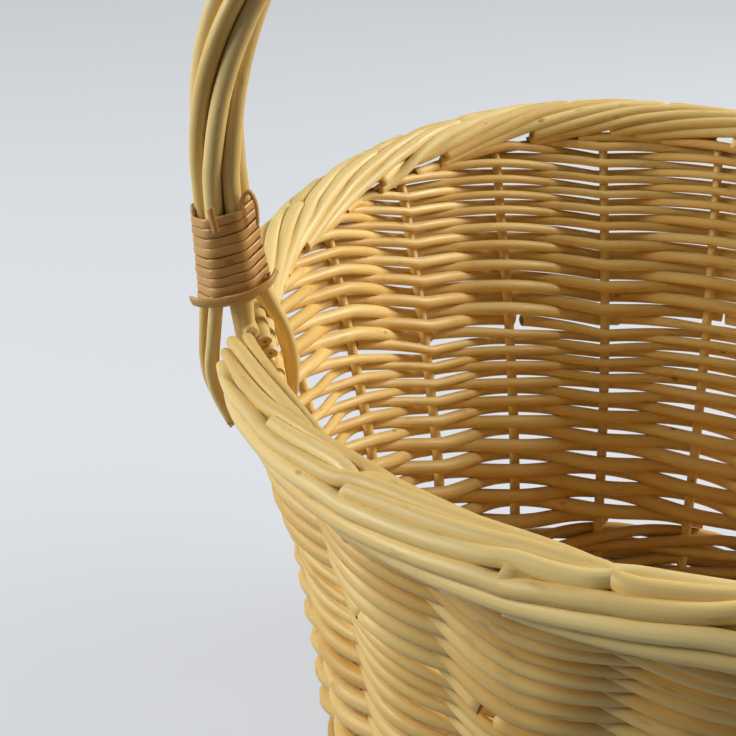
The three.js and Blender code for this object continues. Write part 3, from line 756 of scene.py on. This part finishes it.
# Places of a strand's foot: height over the border's centre line, out from the foot, along the rim, radius
STRAND_FEET = (
    ((30, 6.6, 0, 2.9), (20, 8.0, 0, 2.6), (12, 10.2, 0.4, 2.2), (2, 12.6, 0.6, 1.9),
     (-6, 13.4, 0.2, 1.8), (-14, 12.3, -1.0, 1.75), (-21, 9.2, -2.6, 1.7), (-28, 5.2, -4.4, 1.6)),
    ((30, 3.3, -5.7, 2.8), (20, 4.8, -6.6, 2.6), (12, 7.2, -6.6, 2.2), (2, 9.9, -5.8, 2.0),
     (-7, 11.4, -5.0, 1.9), (-15, 10.6, -5.2, 1.8), (-21, 8.4, -6.2, 1.7), (-27, 5.4, -7.4, 1.6)),
    ((30, -3.3, -5.7, 2.9), (20, -3.2, -6.6, 2.9), (10, -2.4, -7.1, 2.8), (0, -2.0, -7.2, 2.6),
     (-12, -2.8, -7.2, 2.4), (-26, -6.6, -7.0, 2.2), (-44, -12.0, -7.0, 2.0)),
    ((30, -6.6, 0, 2.8), (20, -8.4, -0.4, 2.5), (12, -11.0, -1.4, 2.1), (4, -13.8, -2.6, 1.8),
     (-6, -15.4, -3.0, 1.7), (-16, -15.4, -2.4, 1.7), (-25, -14.6, -1.0, 1.6)),
    ((30, -3.3, 5.7, 2.9), (20, -4.8, 6.8, 2.7), (12, -7.2, 7.0, 2.3), (4, -10.2, 6.4, 2.0),
     (-6, -12.8, 6.0, 1.9), (-16, -14.4, 5.6, 1.8), (-25, -15.4, 5.0, 1.7)),
    ((30, 3.3, 5.7, 2.8), (20, 4.4, 6.6, 2.6), (12, 6.6, 6.6, 2.3), (2, 9.2, 5.4, 2.1),
     (-9, 10.6, 4.2, 2.0), (-18, 10.4, 3.6, 1.9), (-26, 8.2, 2.6, 1.8), (-33, 5.0, 1.6, 1.7)),
)


def strand_foot(number):
    """The foot of a strand at the left side, from its lowest point up."""
    places = []
    for height, out, aside, radius in STRAND_FEET[number][::-1]:
        if height > 0:
            centre = bow_at(along_at_height(height))[0]
        else:
            centre = -RIM_HALF_SPAN
        places.append((centre - out, aside, FOOT_Z + height, radius))
    return np.array(places)


BODY_PLACES = 210
TURN_WANDER = 0.13
LAY_UNEVEN = 0.05
STRAND_UNEVEN = 0.02
BUTT_WIDER, TIP_THINNER = 1.06, 0.94
FOOT_RADIUS_SCALE = 3.0


def make_handle():
    rng = np.random.default_rng(3)
    thinning = np.clip(1 - np.minimum(BOW_ALONG, BOW_LENGTH - BOW_ALONG) / LEAD, 0, 1)
    radii = BOW_RADIUS + (BOW_FOOT_RADIUS - BOW_RADIUS) * thinning
    step = slice(None, None, 3)
    Bundle().rod(rng, BOW[step], radii[step], 12).piece("handle_bow_rod", cream, "handle", "handle_bow")
    along = np.linspace(LEAD, BOW_LENGTH - LEAD, BODY_PLACES)
    share = (along - LEAD) / (BOW_LENGTH - 2 * LEAD)
    centre = bow_at(along)
    ahead = bow_at(along + 1) - bow_at(along - 1)
    ahead /= np.linalg.norm(ahead, axis=1, keepdims=True)
    outward = np.stack([-ahead[:, 2], np.zeros(len(along)), ahead[:, 0]], -1)
    ease = np.sin(math.pi * share)
    for i in range(STRANDS):
        start = 2 * math.pi * i / STRANDS
        turn = start + 2 * math.pi * STRAND_TURNS * share + TURN_WANDER * drift(rng, len(along), 30) * ease
        lay = STRAND_LAY * (1 + LAY_UNEVEN * drift(rng, len(along), 35) * ease)
        line = centre + outward * (lay * np.cos(turn))[:, None]
        line[:, 1] -= lay * np.sin(turn)
        radius = STRAND_RADII[i] * (1 + STRAND_UNEVEN * drift(rng, len(along), 12))
        taper = (BUTT_WIDER, TIP_THINNER) if i % 2 else (TIP_THINNER, BUTT_WIDER)
        radius *= np.interp(share, (0, 1), taper)
        body = np.column_stack([line, radius])
        last = round(i + STRANDS * STRAND_TURNS) % STRANDS
        first_foot = strand_foot(i)
        other_foot = strand_foot(last)[::-1] * (-1, 1, 1, 1)
        first_foot[:, 3] *= body[0, 3] / FOOT_RADIUS_SCALE
        other_foot[:, 3] *= body[-1, 3] / FOOT_RADIUS_SCALE
        whole = resampled(np.vstack([first_foot, body[3:-3:4], other_foot]), ROD_STEP)
        Bundle().rod(rng, whole[:, :3], whole[:, 3], 14, None, (0.6, 0.6)).piece(
            f"handle_strand_{i + 1}_rod", cream, "handle", f"handle_strand_{i + 1}")


make_handle()


# Bindings: flat skein drawn tight over the strands, with a tail and tucks

def hull_reach(turn, lay, radius):
    """How far the hull of six round strands reaches at a turn round their bundle."""
    off = np.abs((turn + math.pi / STRANDS) % (2 * math.pi / STRANDS) - math.pi / STRANDS)
    half = math.pi / STRANDS
    on_arc = lay * np.cos(off) + np.sqrt(np.maximum(radius ** 2 - (lay * np.sin(off)) ** 2, 0))
    on_line = (lay * math.cos(half) + radius) / np.cos(half - off)
    limit = np.arctan2(radius * math.sin(half), lay + radius * math.cos(half))
    return np.where(off < limit, on_arc, on_line)


# The thick tail across the near side, a tuck and a loop: places as out, along the rim and height, then half
# the width and the share of it that is thick
BINDING_EXTRAS = (
    (((13.2, -8.2, 17.4), (9.6, -10.8, 17.6), (3.0, -12.4, 18.7), (-5.0, -11.9, 20.6), (-11.2, -8.2, 22.6),
      (-13.8, -1.6, 23.8)), 1.5, 0.4),
    (((3.2, -10.0, 48.0), (2.8, -10.3, 44.5), (2.2, -10.6, 40.5)), 1.1, 0.5),
    (((-5.0, -7.4, 44.0), (-6.6, -7.2, 50.0), (-8.8, -6.6, 51.6), (-10.4, -6.0, 47.5), (-10.3, -6.0, 41.5)),
     0.8, 0.6),
)
TURN_STEPS = 40
FOOT_LAY = 8.0
WOUND_RADIUS = 3.0
BINDING_SKIN = 0.1


def make_binding(name, sign):
    rng = np.random.default_rng(17 if sign < 0 else 19)
    bundle = Bundle()
    turns = np.arange(-0.06, BINDING_TURNS + 0.05, 1 / TURN_STEPS)
    turn = 2 * math.pi * turns
    height = BINDING_BOTTOM + BINDING_PITCH * turns
    share = np.clip(turns / BINDING_TURNS, 0, 1)
    lay = FOOT_LAY + (STRAND_LAY - FOOT_LAY) * share ** 0.7
    reach = hull_reach(turn, lay, WOUND_RADIUS) + BINDING_THICKNESS / 2 + BINDING_SKIN
    reach = reach + 0.12 * drift(rng, len(turns), 9)
    lift = 0.18 * drift(rng, len(turns), 11)
    centre = bow_at(along_at_height(height))
    line = np.stack([centre[:, 0] - reach * np.cos(turn), -reach * np.sin(turn),
                     FOOT_Z + height - BINDING_TILT * np.cos(turn) + lift], -1)
    outward = np.stack([-np.cos(turn), -np.sin(turn), np.zeros(len(turns))], -1)
    width = BINDING_WIDTH / 2 * (1 + 0.05 * drift(rng, len(turns), 16))
    flip = np.array([1, 1, 1]) if sign < 0 else np.array([-1, -1, 1])
    thin = BINDING_THICKNESS / BINDING_WIDTH
    bundle.rod(rng, line * flip, width, 12, 0.5, (0.2, 0.2), (outward * flip, thin))
    for places, half_width, thin in BINDING_EXTRAS:
        places = resampled(np.array(places, float), 0.8)
        base = bow_at(along_at_height(places[:, 2]))
        line = np.stack([base[:, 0] - places[:, 0], places[:, 1], FOOT_Z + places[:, 2]], -1)
        outward = np.stack([-places[:, 0], places[:, 1], np.zeros(len(places))], -1)
        outward /= np.linalg.norm(outward, axis=1, keepdims=True)
        bundle.rod(rng, line * flip, half_width, 12, rng.uniform(0.3, 1), (0.5, 0.5), (outward * flip, thin))
    return bundle.piece(f"{name}_skein", skein, "binding", name)


make_binding("binding_left", -1)
make_binding("binding_right", 1)


# Base: a cross of sticks, bound by pairs of thin rods into an oval

CROSS_STICKS = (-0.41, 0.0, 0.41)
LONG_STICKS = (-1, 0, 1)
LONG_PITCH = 5.2
CROSS_RADIUS = 3.4
LONG_RADIUS = 2.3
STICK_END = 24
STICK_FAN = 30
STICK_STEP = 3.0
STICKS_PARALLEL = 46
BASE_ROD = 1.3
BASE_PITCH = 4.4
BASE_SEGMENTS = 260
CORE_INSET = 76
CORE_END = 5
RING_SHARE = 0.62
RING_SWAY = 0.8
BASE_WANDER = 0.12


def oval(turn, inset):
    """A point of the base's plan, a distance in from the wall. The middle rings shrink in proportion."""
    core = np.clip((BASE_HALF_LENGTH - inset) / (BASE_HALF_LENGTH - CORE_INSET), 0, 1)
    return wall_point(turn, BASE_MIDDLE, -np.minimum(inset, CORE_INSET))[..., :2] * core[..., None]


def make_base():
    rng = np.random.default_rng(23)
    half_span, half_length = BASE_HALF_SPAN - STICK_END, BASE_HALF_LENGTH - STICK_END
    crossings = []
    for i, place in enumerate(LONG_STICKS):
        fan = place * STICK_FAN
        reach = half_length * math.sqrt(1 - (fan / half_span) ** 2)
        middle = place * LONG_PITCH
        line = [(fan, -reach), (fan * 0.6, -reach * 0.72), (middle, -STICKS_PARALLEL), (middle, 0)]
        line += [(x, -y) for x, y in line[:-1][::-1]]
        line = resampled(np.array([(x, y, BASE_MIDDLE) for x, y in line]), STICK_STEP)
        Bundle().rod(rng, line, LONG_RADIUS, 10, rng.uniform(0.3, 1)).piece(
            f"base_long_stick_{i + 1}_rod", honey, "base_sticks", f"base_long_stick_{i + 1}")
        for end in (-reach, reach):
            crossings.append(math.atan2(end / half_length, fan / half_span))
    for i, place in enumerate(CROSS_STICKS):
        y = place * BASE_HALF_LENGTH
        reach = half_span * math.sqrt(1 - ((abs(y) + CROSS_RADIUS) / half_length) ** 2)
        line = resampled(np.array([(x, y, BASE_MIDDLE) for x in (-reach, 0, reach)]), STICK_STEP)
        radii = CROSS_RADIUS * np.interp(np.linspace(-1, 1, len(line)), (-1, 0, 1), (0.86, 1.0, 0.86))
        Bundle().rod(rng, line, radii, 12, rng.uniform(0.3, 1)).piece(
            f"base_cross_stick_{i + 1}_rod", honey, "base_sticks", f"base_cross_stick_{i + 1}")
        for end in (-reach, reach):
            crossings.append(math.atan2(y / half_length, end / half_span))
    crossings = np.sort(np.mod(crossings, 2 * math.pi))
    stakes = np.sort(np.mod(angle_at(STAKE_DISTANCES), 2 * math.pi))
    bundle = Bundle()
    inset = BASE_EDGE + BASE_ROD
    while inset < BASE_HALF_LENGTH - CORE_END:
        spokes = stakes if inset < STAKE_FOOT else crossings
        thick = STAKE_BUTT if inset < STAKE_FOOT else LONG_RADIUS
        count = len(spokes)
        for strand in range(2):
            first = int(rng.integers(0, count))
            phase = np.linspace(first - 0.1, first + count + 0.25, BASE_SEGMENTS)
            table = np.concatenate([spokes - 2 * math.pi, spokes, spokes + 2 * math.pi])
            table = np.concatenate([table, spokes + 4 * math.pi])
            turn = np.interp(phase, np.arange(-count, 3 * count), table)
            twist = math.pi * (phase + strand)
            plan = oval(turn, inset + RING_SWAY * np.sin(twist))
            z = BASE_MIDDLE + (thick + BASE_ROD) * np.cos(twist) + BASE_WANDER * drift(rng, len(phase), 12)
            radius = BASE_ROD * np.interp(np.linspace(0, 1, len(phase)), (0, 0.95, 1), (1.06, 0.95, 0.6))
            bundle.rod(rng, np.column_stack([plan, z]), radius, 7)
        inset += BASE_PITCH * RING_SHARE
    return bundle.piece("base_weave_rods", honey, "base", "base_weave")


make_base()


# Floor and backdrop

FLOOR_COLOUR = linear(128, 131, 136)
FLOOR_GLOW = 0.55
FLOOR_ROUGHNESS = 0.9
FLOOR_SPECULAR = 0.1
FLOOR_HALF_WIDTH = 6.0
COOL_WHITE = (0.93, 0.96, 1.0, 1)


def floor_material():
    n = Nodes("pale_floor")
    n.shader.inputs["Base Color"].default_value = FLOOR_COLOUR
    path = n.add("ShaderNodeLightPath")
    seen = n.math("MAXIMUM", n.math("MAXIMUM", path.outputs["Is Camera Ray"], path.outputs["Is Glossy Ray"]),
                  path.outputs["Is Transmission Ray"])
    n.shader.inputs["Emission Color"].default_value = COOL_WHITE
    n.tree.links.new(n.math("MULTIPLY", seen, FLOOR_GLOW), n.shader.inputs["Emission Strength"])
    n.shader.inputs["Roughness"].default_value = FLOOR_ROUGHNESS
    n.shader.inputs["Specular IOR Level"].default_value = FLOOR_SPECULAR
    return n.material


def make_floor():
    half = FLOOR_HALF_WIDTH
    mesh = bpy.data.meshes.new("floor")
    corners = [(-half, -half, 0), (half, -half, 0), (half, half, 0), (-half, half, 0)]
    mesh.from_pydata(corners, [], [(0, 1, 2, 3)])
    mesh.materials.append(floor_material())
    floor = bpy.data.objects.new("floor", mesh)
    bpy.context.collection.objects.link(floor)


make_floor()


# Light and camera

LAMP_SIZE = 0.7
LEFT_LAMP = ("left", (-1.2, 0.1, 0.75), (-0.06, 0.0, 0.16), 13.5, (1.0, 0.98, 0.95))
RIGHT_LAMP = ("right", (1.15, 0.3, 0.85), (-0.06, 0.05, 0.16), 24, (1.0, 0.97, 0.93))
WORLD_STRENGTH = 0.1


def add_lamp(name, place, aim, power, colour):
    data = bpy.data.lights.new(name, "AREA")
    data.shape = "SQUARE"
    data.size = LAMP_SIZE
    data.energy = power
    data.color = colour
    lamp = bpy.data.objects.new(name, data)
    lamp.location = place
    lamp.rotation_euler = (Vector(aim) - Vector(place)).to_track_quat("-Z", "Y").to_euler()
    bpy.context.collection.objects.link(lamp)


add_lamp(*LEFT_LAMP)
add_lamp(*RIGHT_LAMP)

world = bpy.data.worlds.new("studio")
bpy.context.scene.world = world
world.use_nodes = True
world.node_tree.nodes["Background"].inputs["Color"].default_value = COOL_WHITE
world.node_tree.nodes["Background"].inputs["Strength"].default_value = WORLD_STRENGTH

CAMERA_PLACE = (-0.1529, -0.3463, 0.3612)
CAMERA_YAW = 0.0941
CAMERA_PITCH = 0.4924
CAMERA_ROLL = 0.0144
FOCAL_PIXELS = 1200
IMAGE_PIXELS = 736
SENSOR = 36


def make_camera():
    data = bpy.data.cameras.new("camera")
    data.sensor_width = SENSOR
    data.sensor_fit = "HORIZONTAL"
    data.lens = FOCAL_PIXELS / IMAGE_PIXELS * SENSOR
    data.clip_start = 0.01
    level = math.cos(CAMERA_PITCH)
    ahead = Vector((math.sin(CAMERA_YAW) * level, math.cos(CAMERA_YAW) * level, -math.sin(CAMERA_PITCH)))
    right = Vector((math.cos(CAMERA_YAW), -math.sin(CAMERA_YAW), 0))
    up = right.cross(ahead)
    rolled_right = right * math.cos(CAMERA_ROLL) + up * math.sin(CAMERA_ROLL)
    rolled_up = up * math.cos(CAMERA_ROLL) - right * math.sin(CAMERA_ROLL)
    turn = Matrix((rolled_right, rolled_up, -ahead)).transposed().to_4x4()
    camera = bpy.data.objects.new("camera", data)
    camera.matrix_world = Matrix.Translation(CAMERA_PLACE) @ turn
    bpy.context.collection.objects.link(camera)
    bpy.context.scene.camera = camera


make_camera()
bpy.context.scene.view_settings.view_transform = "Standard"
